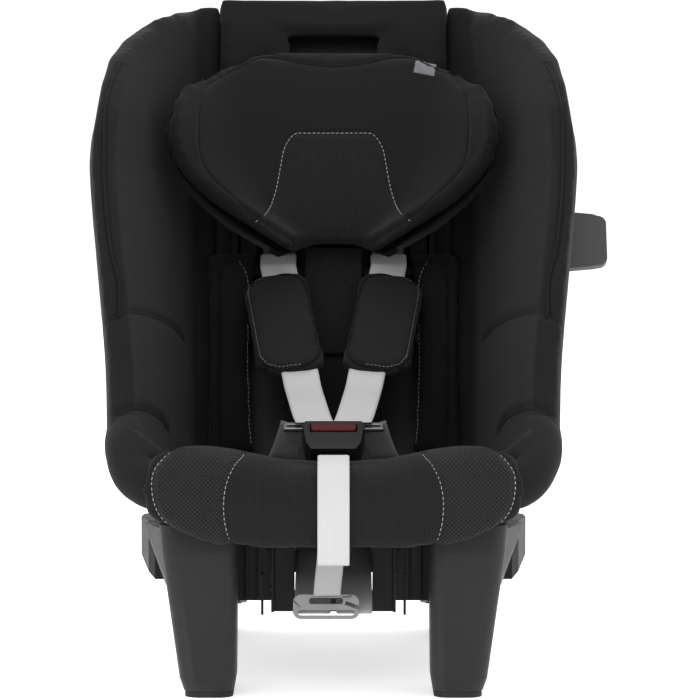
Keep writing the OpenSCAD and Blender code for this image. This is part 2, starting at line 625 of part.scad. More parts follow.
buckle_lean = 20;
module at_buckle() { translate([0, -92, 232]) rotate([buckle_lean, 0, 0]) children(); }
module buckle_body() {
  color([0.08, 0.08, 0.085]) at_buckle() difference() {
    translate([0, 0, -10]) linear_extrude(21)
      polygon([[-22, -34], [22, -34], [27, -20], [31, 20], [28, 30], [-28, 30], [-31, 20], [-27, -20]]);
    translate([-23, 4, 0]) cube([46, 18, 14]);
    for (s = [-1, 1]) translate([s * 15 - 11, 12, -4]) cube([22, 30, 3]);
    translate([-18, -40, -4]) cube([36, 18, 4]);
  }
}
module buckle_button() {
  color([0.78, 0.05, 0.05]) at_buckle() translate([0, 13, 4.4]) rounded_plate(44, 16, 8, 5);
}
module tongue(side) {
  color([0.3, 0.3, 0.31]) sided(side) {
    at_buckle() translate([5.2, 14, -3.6]) cube([19.6, 24, 2.2]);
    at_buckle() difference() {
      translate([2, 36, -4.6]) cube([48, 15, 4]);
      translate([6, 41, -6]) cube([40, 5, 8]);
    }
  }
}
module crotch_strap() {
  color([0.3, 0.3, 0.31]) webbing([[0, -116, 164], [0, -116, 186], [0, -116, 202.5]], 34, web_t);
}
module crotch_pad() {
  color([0.12, 0.12, 0.13]) at_buckle() translate([0, -2, -17]) rounded_plate(74, 62, 6, 16);
}
module hip_straps() {
  color([0.82, 0.82, 0.8]) for (s = [-1, 1]) sided(s)
    webbing([[39, -37, 246], [50, -31, 230], [64, -16, 208], [94, 26, 202], [124, 60, 198]], 30, web_t);
}
module adjuster_body() {
  color([0.5, 0.51, 0.53]) difference() {
    translate([-24, -206, 170]) cube([48, 30, 17]);
    translate([-pull_w / 2 - 1.5, -199, 160]) cube([pull_w + 3, 8, 40]);
    translate([-26, -184, 179]) rotate([0, 90, 0]) cylinder(r = 2.06, h = 52);
  }
}
module adjuster_lever() {
  color([0.35, 0.35, 0.37]) {
    translate([-30, -184, 179]) rotate([0, 90, 0]) cylinder(r = 2, h = 60);
    for (s = [-1, 1]) translate([s * 27 - 2, -216, 176]) cube([4, 34, 6]);
    translate([-29, -219, 175]) cube([58, 4, 8]);
  }
}
module pull_strap() {
  color([0.84, 0.84, 0.82]) webbing([[0, -195, 174], [0, -195, 190], [0, -194, 222], [0, -200, 230],
    [0, -215, 231], [0, -236, 225],
    [0, -249, 208], [0, -253, 184], [0, -252, 160], [0, -248, 140], [0, -246, 132]], pull_w, web_t);
}
module adjuster_strap() {
  color([0.7, 0.7, 0.69]) webbing([[0, -197.5, 168], [-1, -198, 156], [-3, -194, 130], [-6, -188, 100],
    [-6, -187, 95]],
    pull_w - 4, web_t);
}
module yoke_plate() {
  color([0.45, 0.46, 0.47]) translate([-7, -185, 84]) rotate([90 - 12, 0, 0])
    linear_extrude(3, center = true) difference() {
    rounded_square(64, 24, 8);
    translate([0, 5.5]) rounded_square(32, 5.6, 2.4);
    translate([18, 2]) rotate(-20) square([24, 3.4]);
    translate([0, -6]) rounded_square(54, 5, 2.4);
  }
}
module under_straps() {
  color([0.72, 0.72, 0.71]) for (s = [-1, 1]) sided(s)
    webbing([[20, -181, 77], [20, -172, 85], [20, -150, 95], [20, -120, 104], [20, -83, 110],
      [21, -30, 124],
      [28, 60, 130], [36, 124, 132], [46, 158, 158], [54, 180, 206],
        back_point(59, 14, -10), back_point(59, 14, 60), back_point(59, 14, 330)],
      web_w - 4, web_t);
}

// ---------- headrest ----------
HEADREST = [
  [236, 629, 200, 610, 80, 124],
  [223, 604, 146, 596, 90, 152],
  [204, 556, 100, 554, 94, 158],
  [184, 504, 92, 512, 88, 151],
  [166, 458, 108, 474, 66, 116],
  [154, 420, 138, 434, 28, 44]];
head_us = concat([for (i = [8 : -1 : 1]) -i / 8], steps(0, 1, 8));
head_vs = steps(0, len(HEADREST) - 1, 10);
module headrest_pad() { color([0.12, 0.12, 0.13]) layer(HEADREST, head_us, head_vs, -22, 0); }
module headrest_shell() { color([0.1, 0.1, 0.11])
  layer(HEADREST, head_us * 0.95, steps(0.25, 4.75, 9), -30, -25); }
carriage_low = 134;
carriage_high = 244;
module headrest_carriage() {
  color([0.16, 0.16, 0.17]) on_back() difference() {
    union() {
      translate([-100, -18.5, carriage_low]) cube([200, 15, carriage_high - carriage_low]);
      translate([-28, -53, 176]) cube([56, 38, 34]);
      translate([-38, -53, 206]) cube([76, 12, 30]);
    }
    for (s = [-1, 1]) translate([s * rod_x, rod_y, 100]) cylinder(r = rod_r + 0.06, h = 200);
    for (s = [-1, 1]) translate([s * 30, handle_y, 180]) cylinder(r = 3.06, h = 80);
    for (s = [-1, 1]) translate([s > 0 ? slot_in : -slot_out, -30, 142]) cube([slot_out - slot_in, 40, 40]);
  }
}
module neck_flap() {
  color([0.18, 0.18, 0.19]) on_back() translate([-31, -42, 36]) cube([62, 3.4, 122]);
}
handle_y = -47;
module headrest_handle() {
  color([0.2, 0.2, 0.21]) on_back() translate([0, handle_y, 0]) {
    translate([0, 4, 342]) rotate([90, 0, 0]) difference() {
      rounded_plate(92, 30, 8, 9);
      translate([0, 2, -1]) rounded_plate(66, 14, 10, 5);
    }
    for (s = [-1, 1]) translate([s * 30, 0, 212]) cylinder(r = 3, h = 118);
  }
}
module tilt_handle() {
  color([0.08, 0.08, 0.085]) {
    translate([-53, -152, 155]) cube([106, 6, 10]);
    for (s = [-1, 1]) translate([s * 50 - 3, -147, 156]) cube([6, 30, 9]);
  }
}

base_side(LEFT);  // base_side_left
base_side(RIGHT);  // base_side_right
base_front_web();
base_rear_bars();
front_leg(LEFT);  // front_leg_left
front_leg(RIGHT);  // front_leg_right
belt_guides();
foot_soles();
leg_bracket();
leg_pivot_pin();
base_screws();
leg_hinge_block();
leg_outer_tube();
leg_collar();
leg_inner_tube();
leg_foot();
leg_foot_sole();
leg_lock_button();
seat_shell();
runners();
back_cover();
guide_rods();
shell_screws();
side_bolster(LEFT);  // side_bolster_left
side_bolster(RIGHT);  // side_bolster_right
upper_back_pad();
back_pad();
inlay_pad(LEFT);  // inlay_pad_left
inlay_pad(RIGHT);  // inlay_pad_right
seat_cushion();
apron_pad();
crotch_strap();
crotch_pad();
buckle_body();
buckle_button();
tongue(LEFT);  // tongue_left
tongue(RIGHT);  // tongue_right
chest_straps();
hip_straps();
adjuster_body();
adjuster_lever();
pull_strap();
adjuster_strap();
yoke_plate();
under_straps();
headrest_shell();
headrest_pad();
headrest_carriage();
neck_flap();
headrest_handle();
shoulder_strap(LEFT);  // shoulder_strap_left
shoulder_strap(RIGHT);  // shoulder_strap_right
shoulder_pad(LEFT);  // shoulder_pad_left
shoulder_pad(RIGHT);  // shoulder_pad_right
tilt_handle();
guard_left();
guard_right();
guard_pins();
guard_brackets();
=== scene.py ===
"""Looks of a convertible car seat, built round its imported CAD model.

Metres, unless a comment says millimetres. -Y is the front, +Z is up, and left is -X, as seen from the front.
"""
import json
import math
from collections import namedtuple

import bmesh
import bpy
import numpy as np
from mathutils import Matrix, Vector
from mathutils.bvhtree import BVHTree
from mathutils.kdtree import KDTree


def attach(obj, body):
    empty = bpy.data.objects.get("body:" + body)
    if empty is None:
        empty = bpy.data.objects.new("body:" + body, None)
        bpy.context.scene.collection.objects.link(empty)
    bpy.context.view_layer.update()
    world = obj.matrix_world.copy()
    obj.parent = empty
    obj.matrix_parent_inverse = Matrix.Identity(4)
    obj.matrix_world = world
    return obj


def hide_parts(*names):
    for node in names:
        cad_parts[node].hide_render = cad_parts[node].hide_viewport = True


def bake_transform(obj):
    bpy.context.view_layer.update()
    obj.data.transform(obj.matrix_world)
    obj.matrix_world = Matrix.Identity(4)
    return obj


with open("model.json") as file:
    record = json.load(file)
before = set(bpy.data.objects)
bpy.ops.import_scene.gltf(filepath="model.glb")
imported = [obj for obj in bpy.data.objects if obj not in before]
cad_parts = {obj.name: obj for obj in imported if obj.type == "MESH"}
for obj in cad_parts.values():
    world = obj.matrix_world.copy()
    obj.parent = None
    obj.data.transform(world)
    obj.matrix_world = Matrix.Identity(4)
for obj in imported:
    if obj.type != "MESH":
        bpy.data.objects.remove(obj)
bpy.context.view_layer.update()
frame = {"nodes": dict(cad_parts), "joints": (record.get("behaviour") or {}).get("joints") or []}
NODES = frame["nodes"]
SIDES = (("left", -1), ("right", 1))
MM = 0.001
WELD_GAP = 1e-5

# the back leans as the head support slides
slide = next(j for j in frame["joints"] if j["name"] == "headrest_height")["axis"]
UP_BACK = Vector(slide).normalized()
OUT_BACK = Vector((0, UP_BACK.z, -UP_BACK.y))
BACK_ORIGIN = Vector((0, 0.1779, 0.254))


def back_point(x, y, z):
    """A point given in millimetres along the leaning back: x across, y into the back, z up it."""
    return BACK_ORIGIN + Vector((x * MM, 0, 0)) + OUT_BACK * y * MM + UP_BACK * z * MM


# ---------------------------------------------------------------- materials

MIX_COLOUR_INPUTS = (0, 6, 7)
MIX_COLOUR_OUTPUT = 2


class Shader:
    """A material and short ways to add nodes to it."""

    def __init__(self, name, roughness, **sockets):
        self.material = bpy.data.materials.new(name)
        self.material.use_nodes = True
        self.tree = self.material.node_tree
        self.shader = self.tree.nodes["Principled BSDF"]
        self.set(self.shader, Roughness=roughness)
        for key, value in sockets.items():
            self.shader.inputs[key.replace("_", " ")].default_value = value

    def feed(self, socket, value):
        """Links another node's output to a socket, or sets the socket to a plain value."""
        if isinstance(value, bpy.types.NodeSocket):
            self.tree.links.new(value, socket)
        else:
            socket.default_value = value

    def set(self, node, **inputs):
        for key, value in inputs.items():
            self.feed(node.inputs[key.replace("_", " ")], value)
        return node

    def node(self, kind, settings=None, **inputs):
        made = self.tree.nodes.new(kind)
        for key, value in (settings or {}).items():
            setattr(made, key, value)
        return self.set(made, **inputs)

    def math(self, operation, a, b=0.0, c=0.0):
        made = self.tree.nodes.new("ShaderNodeMath")
        made.operation = operation
        for socket, value in zip(made.inputs, (a, b, c)):
            self.feed(socket, value)
        return made.outputs[0]

    def place(self):
        return self.tree.nodes.new("ShaderNodeTexCoord").outputs["Object"]

    def noise(self, scale, detail=3.0, vector=None):
        made = self.node("ShaderNodeTexNoise", Scale=scale, Detail=detail, Vector=vector or self.place())
        return made.outputs["Fac"]

    def mix(self, factor, a, b):
        """Mixes two colours, on the sockets that a Mix node keeps for colours."""
        made = self.tree.nodes.new("ShaderNodeMix")
        made.data_type = "RGBA"
        for number, value in zip(MIX_COLOUR_INPUTS, (factor, a, b)):
            self.feed(made.inputs[number], value)
        return made.outputs[MIX_COLOUR_OUTPUT]

    def bump(self, height, distance, strength=1.0, normal=None):
        made = self.node("ShaderNodeBump", Height=height, Distance=distance, Strength=strength)
        if normal is not None:
            self.set(made, Normal=normal)
        return made.outputs["Normal"]


def grey(value, tint=0.0):
    """A near-neutral colour; tint leans it towards blue."""
    return (value * (1 - tint), value * (1 - tint), value * (1 + tint), 1)


def plain_weave(s, a, b):
    return s.math("MULTIPLY", s.math("SINE", a), s.math("SINE", b))


def rib_knit(s, a, b):
    fine = s.math("MULTIPLY", s.math("SINE", s.math("MULTIPLY", b, 1.7)), 0.25)
    return s.math("ADD", s.math("SINE", a), fine)


def spacer_mesh(s, a, b):
    """Rows of lens-shaped holes, each row half a step along from the last."""
    half_b = s.math("MULTIPLY", b, 0.5)
    first = s.math("MULTIPLY", s.math("COSINE", s.math("MULTIPLY", a, 0.5)), s.math("COSINE", half_b))
    second = s.math("MULTIPLY", s.math("SINE", s.math("MULTIPLY", a, 0.5)), s.math("SINE", half_b))
    peak = s.math("MAXIMUM", s.math("ABSOLUTE", first), s.math("ABSOLUTE", second))
    return s.math("SUBTRACT", 3.0, s.math("MULTIPLY", peak, 4.6))


def on_three_planes(s, pattern, pitch):
    """Lays a flat pattern on the planes a surface faces, so that it needs no unwrapping."""
    place = s.node("ShaderNodeSeparateXYZ", Vector=s.place())
    normal = s.tree.nodes.new("ShaderNodeTexCoord").outputs["Normal"]
    turn = 2 * math.pi / pitch
    x, y, z = (s.math("MULTIPLY", place.outputs[i], turn) for i in range(3))
    facing = s.node("ShaderNodeSeparateXYZ", Vector=normal)
    weights = [s.math("POWER", s.math("ABSOLUTE", facing.outputs[i]), 4.0) for i in range(3)]
    total = s.math("ADD", s.math("ADD", weights[0], weights[1]), weights[2])
    planes = ((y, z), (x, z), (x, y))
    parts = [s.math("MULTIPLY", weight, pattern(s, a, b)) for weight, (a, b) in zip(weights, planes)]
    summed = s.math("ADD", s.math("ADD", parts[0], parts[1]), parts[2])
    return s.math("DIVIDE", summed, total)


def clamped(s, value, low, high):
    made = s.node("ShaderNodeMapRange", {"clamp": True})
    s.set(made, Value=value)
    for name, number in (("From Min", low), ("From Max", high)):
        made.inputs[name].default_value = number
    return made.outputs["Result"]


# pitch and depth of the pattern, and the grey of its hollows and threads
CLOTHS = {
    "cover": dict(pattern=plain_weave, pitch=0.0014, dark=0.0060, light=0.0105, depth=0.00012),
    "rib": dict(pattern=rib_knit, pitch=0.0026, dark=0.0035, light=0.0145, depth=0.00025),
    "mesh": dict(pattern=spacer_mesh, pitch=0.0042, dark=0.0004, light=0.027, depth=0.0009),
    "fine_mesh": dict(pattern=spacer_mesh, pitch=0.0034, dark=0.0006, light=0.02, depth=0.0007),
    "inlay": dict(pattern=plain_weave, pitch=0.0011, dark=0.0045, light=0.008, depth=0.0001),
    "pad": dict(pattern=plain_weave, pitch=0.0015, dark=0.0085, light=0.016, depth=0.00014),
    "tag": dict(pattern=plain_weave, pitch=0.0009, dark=0.12, light=0.19, depth=0.00006),
    "binding": dict(pattern=rib_knit, pitch=0.0012, dark=0.006, light=0.011, depth=0.00012),
}


BUMP_DEPTH = 0.001


def cloth_look(s, kind):
    """Colour and height of one cloth."""
    cloth = CLOTHS[kind]
    height = clamped(s, on_three_planes(s, cloth["pattern"], cloth["pitch"]), -1.0, 1.0)
    flecks = clamped(s, s.noise(900.0, 2.0), 0.3, 0.7)
    wash = clamped(s, s.noise(9.0, 3.0), 0.25, 0.75)
    blend = s.math("MULTIPLY_ADD", flecks, 0.35, s.math("MULTIPLY", height, 0.65))
    thread = s.mix(blend, grey(cloth["dark"], 0.03), grey(cloth["light"], 0.03))
    colour = s.mix(s.math("MULTIPLY", wash, 0.35), thread, grey(cloth["light"] * 0.8, 0.04))
    return colour, s.math("MULTIPLY", height, cloth["depth"] / BUMP_DEPTH)


def fabric(name, kind, panel=None):
    """A cloth material; where the piece's panel attribute is above zero it is the second cloth."""
    s = Shader(name, 0.88, Sheen_Weight=0.05, Sheen_Roughness=0.4, Specular_IOR_Level=0.15)
    colour, height = cloth_look(s, kind)
    if panel:
        inside = s.node("ShaderNodeAttribute", {"attribute_name": "panel"}).outputs["Fac"]
        inside = clamped(s, inside, -0.0002, 0.0002)
        other_colour, other_height = cloth_look(s, panel)
        colour = s.mix(inside, colour, other_colour)
        keep = s.math("SUBTRACT", 1.0, inside)
        height = s.math("MULTIPLY_ADD", height, keep, s.math("MULTIPLY", other_height, inside))
    creases = s.bump(s.noise(26.0, 2.0), 0.0012, 0.5)
    s.set(s.shader, Base_Color=colour, Normal=s.bump(height, BUMP_DEPTH, 0.8, creases))
    return s.material


def webbing_material(name, light):
    """Woven belt: the weave follows the strap, which carries its own UV map in millimetres."""
    s = Shader(name, 0.7, Sheen_Weight=0.15, Sheen_Roughness=0.4, Specular_IOR_Level=0.35)
    yarn, pick, herringbone = 1.3, 1.5, 7.8
    uv = s.node("ShaderNodeSeparateXYZ", Vector=s.node("ShaderNodeUVMap", {"uv_map": "strap"}).outputs["UV"])
    across, along = uv.outputs[0], uv.outputs[1]
    lines = s.math("SINE", s.math("MULTIPLY", across, 2 * math.pi / yarn))
    share = s.math("FRACT", s.math("MULTIPLY", across, 1 / herringbone))
    folded = s.math("ABSOLUTE", s.math("SUBTRACT", share, 0.5))
    slant = s.math("MULTIPLY_ADD", folded, 34.0, s.math("MULTIPLY", along, 2 * math.pi / pick))
    twill = s.math("SINE", slant)
    height = clamped(s, s.math("ADD", lines, s.math("MULTIPLY", twill, 0.7)), -1.6, 1.6)
    soil = clamped(s, s.noise(40.0, 4.0), 0.3, 0.75)
    thread = s.mix(height, grey(light * 0.72), grey(light))
    colour = s.mix(s.math("MULTIPLY", soil, 0.25), thread, grey(light * 0.82))
    s.set(s.shader, Base_Color=colour, Normal=s.bump(height, 0.00025, 0.7))
    return s.material


def plastic(name, value, roughness=0.5, grain=0.00005, tint=0.02):
    """Moulded plastic with a fine spark-eroded grain, a little dust and paler edges."""
    s = Shader(name, roughness, Specular_IOR_Level=0.22)
    grains = s.noise(2600.0, 2.0)
    dust = clamped(s, s.noise(14.0, 5.0), 0.35, 0.8)
    edge = clamped(s, s.tree.nodes.new("ShaderNodeNewGeometry").outputs["Pointiness"], 0.52, 0.62)
    colour = s.mix(s.math("MULTIPLY", dust, 0.3), grey(value, tint), grey(value * 1.25, tint))
    colour = s.mix(s.math("MULTIPLY", edge, 0.35), colour, grey(value * 1.8 + 0.01, tint))
    gloss = s.math("MULTIPLY_ADD", s.noise(90.0, 3.0), 0.14, roughness - 0.07)
    s.set(s.shader, Base_Color=colour, Roughness=gloss, Normal=s.bump(grains, grain, 0.8))
    return s.material


def coloured_plastic(name, colour, roughness):
    s = Shader(name, roughness, Specular_IOR_Level=0.2)
    darker = tuple(c * 0.85 for c in colour)
    shade = s.mix(clamped(s, s.noise(60.0, 3.0), 0.3, 0.7), (*colour, 1), (*darker, 1))
    s.set(s.shader, Base_Color=shade, Normal=s.bump(s.noise(1800.0), 0.00002, 0.5))
    return s.material


def metal(name, value, roughness, lay=(1, 1, 14)):
    """Metal with fine brushing across the lay, and faint smudges."""
    s = Shader(name, roughness, Metallic=1.0)
    stretched = s.node("ShaderNodeMapping", Vector=s.place())
    stretched.inputs["Scale"].default_value = lay
    brushing = s.noise(260.0, 4.0, stretched.outputs[0])
    smudge = clamped(s, s.noise(22.0, 4.0), 0.3, 0.8)
    colour = s.mix(smudge, grey(value, 0.01), grey(value * 0.8, 0.01))
    gloss = s.math("MULTIPLY_ADD", brushing, 0.22, roughness - 0.1)
    s.set(s.shader, Base_Color=colour, Roughness=gloss, Normal=s.bump(brushing, 0.00003, 0.5))
    return s.material


def rubber(name):
    s = Shader(name, 0.8, Specular_IOR_Level=0.3)
    dust = clamped(s, s.noise(30.0, 5.0), 0.4, 0.8)
    colour = s.mix(dust, grey(0.012), grey(0.022))
    s.set(s.shader, Base_Color=colour, Normal=s.bump(s.noise(900.0), 0.0001, 0.6))
    return s.material


def thread_material(name, value):
    s = Shader(name, 0.7, Sheen_Weight=0.2)
    twist = s.noise(1500.0, 1.0)
    colour = s.mix(twist, grey(value * 0.7), grey(value))
    s.set(s.shader, Base_Color=colour, Normal=s.bump(twist, 0.0001, 0.6))
    return s.material


COVER = fabric("cover_fabric", "cover")
COVER_RIB = fabric("cover_with_rib", "cover", "rib")
COVER_MESH = fabric("cover_with_mesh", "cover", "fine_mesh")
RIB_MESH = fabric("rib_with_mesh", "rib", "mesh")
MESH = fabric("spacer_mesh", "fine_mesh")
INLAY = fabric("inlay_knit", "inlay")
PAD = fabric("pad_knit", "pad")
BINDING = fabric("binding", "binding")
WEBBING = webbing_material("webbing", 0.58)
# the same webbing painted darker: painted shade for the straps that lie under the seat
WEBBING_PAINTED_SHADE = webbing_material("webbing_shaded", 0.42)
# the same grey webbing painted near black: painted shadow for the hip straps
WEBBING_HIP_PAINTED_SHADOW = webbing_material("webbing_hip_painted_shadow", 0.13)
TAG = fabric("tag_weave", "tag")
THREAD = thread_material("thread_light", 0.32)
BLACK_PLASTIC = plastic("black_plastic", 0.006, 0.55)
GREY_PLASTIC = plastic("grey_plastic", 0.014, 0.5)
GUARD_PLASTIC = plastic("guard_plastic", 0.06, 0.45)
BUCKLE_PLASTIC = plastic("buckle_plastic", 0.003, 0.45, 0.00002)
RED_PLASTIC = coloured_plastic("button_red", (0.06, 0.002, 0.003), 0.4)
MATT_PLASTIC = plastic("matt_plastic", 0.003, 0.8)
STEEL = metal("steel", 0.26, 0.36)
STEEL_PIN = metal("steel_pin", 0.55, 0.25)
ALLOY = metal("alloy_tube", 0.6, 0.36)
RUBBER = rubber("sole_rubber")


# ---------------------------------------------------------------- mesh tools

def new_object(name, mesh, material):
    piece = bpy.data.objects.new(name, mesh)
    bpy.context.scene.collection.objects.link(piece)
    mesh.materials.append(material)
    return piece


def mesh_of(name, points, faces):
    mesh = bpy.data.meshes.new(name)
    mesh.from_pydata([tuple(p) for p in points], [], faces)
    mesh.update()
    mesh.polygons.foreach_set("use_smooth", [True] * len(mesh.polygons))
    return mesh


def coordinates(mesh):
    co = np.zeros(len(mesh.vertices) * 3, np.float32)
    mesh.vertices.foreach_get("co", co)
    return co.reshape(-1, 3).astype(float)


def set_coordinates(mesh, co):
    mesh.vertices.foreach_set("co", co.astype(np.float32).ravel())
    mesh.update()


def vertex_normals(mesh):
    return np.array([v.normal for v in mesh.vertices], float).reshape(-1, 3)


def apply_modifiers(piece):
    graph = bpy.context.evaluated_depsgraph_get()
    made = bpy.data.meshes.new_from_object(piece.evaluated_get(graph), depsgraph=graph)
    piece.modifiers.clear()
    piece.data = made
    made.polygons.foreach_set("use_smooth", [True] * len(made.polygons))
    made.update()


def smooth(mesh, rounds, steps=(0.5, -0.52)):
    """Evens a mesh without drawing it in: each round moves the vertices towards their neighbours and back."""
    edges = np.zeros(len(mesh.edges) * 2, np.int64)
    mesh.edges.foreach_get("vertices", edges)
    a, b = edges.reshape(-1, 2).T
    here, there = np.concatenate([a, b]), np.concatenate([b, a])
    co = coordinates(mesh)
    count = np.bincount(here, minlength=len(co))[:, None]
    for _ in range(rounds):
        for share in steps:
            total = np.stack([np.bincount(here, co[there, i], len(co)) for i in range(3)], 1)
            co += share * (total / np.maximum(count, 1) - co)
    set_coordinates(mesh, co)


def lengths_along(places):
    return np.concatenate([[0], np.cumsum(np.linalg.norm(np.diff(places, axis=0), axis=1))])


def spread(values, at, along):
    """Values known at some lengths along a line, read at others."""
    return np.stack([np.interp(at, along, column) for column in values.T], 1)


def curve_through(points, step):
    """Points every step along a smooth curve through the given ones."""
    p = [np.array(q, float) for q in points]
    p = [2 * p[0] - p[1], *p, 2 * p[-1] - p[-2]]
    fine = []
    for i in range(1, len(p) - 2):
        a, b, c, d = p[i - 1:i + 3]
        square, cube = 2 * a - 5 * b + 4 * c - d, 3 * b - a - 3 * c + d
        for t in np.linspace(0, 1, 24, endpoint=False):
            fine.append(0.5 * (2 * b + (c - a) * t + square * t**2 + cube * t**3))
    fine = np.array([*fine, p[-2]])
    along = lengths_along(fine)
    even = np.linspace(0, along[-1], max(2, round(along[-1] / step) + 1))
    return spread(fine, even, along)


ROUTE_STEP = 0.0015


def surface_of(piece):
    places = [v.co.copy() for v in piece.data.vertices]
    return BVHTree.FromPolygons(places, [tuple(face.vertices) for face in piece.data.polygons])


def in_metres(points):
    return [[c * MM for c in p] for p in points]


def route(piece, points, axis=None):
    """A line over a piece's surface, as (place, normal) pairs, through points in millimetres.

    A point (x, z) is met from the front. A point (x, y, z) is taken to the nearest place on the surface,
    or to the place met on the way to an axis (y, z) that runs along X.
    """
    tree = surface_of(piece)
    line = []
    for q in curve_through(in_metres(points), ROUTE_STEP):
        if axis:
            inward = Vector((0, axis[0] * MM - q[1], axis[1] * MM - q[2]))
            place, normal, _, _ = tree.ray_cast(Vector(q) - inward, inward.normalized())
        elif len(q) == 2:
            place, normal, _, _ = tree.ray_cast(Vector((q[0], -1, q[1])), Vector((0, 1, 0)))
        else:
            place, normal, _, _ = tree.find_nearest(Vector(q))
        if place is not None:
            line.append((place, normal))
    return evened(line, 8)


def evened(line, rounds):
    """A line of (place, normal) without the small jumps left by the faces it lies on."""
    both = np.array([[*place, *normal] for place, normal in line])
    for _ in range(rounds):
        both[1:-1] = (both[:-2] + both[1:-1] * 2 + both[2:]) / 4
    return [(Vector(q[:3]), Vector(q[3:]).normalized()) for q in both]


def groove(piece, line, width, depth):
    """Presses a sewn channel into a piece along a line."""
    tree = KDTree(len(line))
    for i, (place, _) in enumerate(line):
        tree.insert(place, i)
    tree.balance()
    co, normals = coordinates(piece.data), vertex_normals(piece.data)
    for i, p in enumerate(co):
        _, _, gap = tree.find(p)
        if gap < 3 * width:
            co[i] -= normals[i] * depth * math.exp(-((gap / width) ** 2))
    set_coordinates(piece.data, co)


def frames_along(line):
    """Places of a line of (place, normal), and the sideways and outward directions at each of them."""
    places = np.array([p for p, _ in line])
    outward = np.array([n for _, n in line])
    tangents = np.gradient(places, axis=0)
    tangents /= np.maximum(np.linalg.norm(tangents, axis=1, keepdims=True), 1e-9)
    for _ in range(6):
        outward[1:-1] = (outward[:-2] + outward[1:-1] * 2 + outward[2:]) / 4
    sideways = np.cross(tangents, outward)
    sideways /= np.maximum(np.linalg.norm(sideways, axis=1, keepdims=True), 1e-9)
    outward = np.cross(sideways, tangents)
    return places, sideways, outward


def swept(places, sideways, outward, profile):
    """Vertices and faces of a profile, a list of (across, out), swept along places and closed at its ends."""
    ring = len(profile)
    points = [p + s * a + o * b for p, s, o in zip(places, sideways, outward) for a, b in profile]
    faces = []
    for j in range(len(places) - 1):
        for i in range(ring):
            k = (i + 1) % ring
            faces.append((j * ring + i, j * ring + k, (j + 1) * ring + k, (j + 1) * ring + i))
    last = (len(places) - 1) * ring
    faces += [tuple(reversed(range(ring))), tuple(range(last, last + ring))]
    return points, faces


def disc(radius, sides=8, squash=1.0):
    turns = np.linspace(0, 2 * math.pi, sides, False)
    return [(radius * math.cos(t), squash * radius * math.sin(t)) for t in turns]


SEAM_RADIUS = 0.0009


def piping(name, line, body, radius=SEAM_RADIUS, material=BINDING, lift=0.0):
    """A corded seam along a line."""
    places, sideways, outward = frames_along(line)
    points, faces = swept(places + outward * lift, sideways, outward, disc(radius))
    piece = new_object(name, mesh_of(name, points, faces), material)
    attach(piece, body)


def stitches(name, line, body, length=3.4, gap=1.6, thick=0.45):
    """A row of single stitches along a line; their sizes are in millimetres."""
    places, sideways, outward = frames_along(line)
    along = lengths_along(places)
    dip = np.array([-0.5, 0.15, 0.3, 0.15, -0.5])[:, None] * thick * MM
    points, faces = [], []
    start = 0.0
    while start + length * MM < along[-1]:
        at = np.linspace(start, start + length * MM, len(dip))
        spot, side, out = (spread(values, at, along) for values in (places, sideways, outward))
        more, ring = swept(spot + out * dip, side, out, disc(thick * MM, 6, 0.8))
        faces += [tuple(i + len(points) for i in face) for face in ring]
        points += more
        start += (length + gap) * MM
    piece = new_object(name, mesh_of(name, points, faces), THREAD)
    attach(piece, body)


WEBBING_THICK = 2.0
STRAP_STEP = 0.004


def strap(name, path, width, body, node, material=WEBBING):
    """Flat webbing through points in millimetres, with rounded selvedges and a UV map in millimetres.

    It replaces a CAD node.
    """
    line = curve_through(in_metres(path), STRAP_STEP)
    tangents = np.gradient(line, axis=0)
    tangents /= np.linalg.norm(tangents, axis=1, keepdims=True)
    sideways = np.array([1.0, 0, 0]) - tangents * tangents[:, :1]
    sideways /= np.linalg.norm(sideways, axis=1, keepdims=True)
    outward = np.cross(sideways, tangents)
    half, half_thick = width * MM / 2, WEBBING_THICK * MM / 2
    across = np.linspace(-1, 1, 13)
    selvedge = 0.86 + 0.14 * (np.abs(across) > 0.8)
    rounding = np.sqrt(np.clip(1.001 - np.abs(across) ** 26, 0.05, 1))
    upper = [(half * a, lift) for a, lift in zip(across, half_thick * selvedge * rounding)]
    profile = upper + [(a, -lift) for a, lift in reversed(upper)]
    mesh = mesh_of(name, *swept(line, sideways, outward, profile))
    along = lengths_along(line) / MM
    uv = mesh.uv_layers.new(name="strap")
    ring = len(profile)
    for loop in mesh.loops:
        uv.data[loop.index].uv = (profile[loop.vertex_index % ring][0] / MM, along[loop.vertex_index // ring])
    piece = new_object(name, mesh, material)
    if isinstance(body, str):
        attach(piece, body)
    else:
        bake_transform(piece)
    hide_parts(node)


# ---------------------------------------------------------------- soft pieces

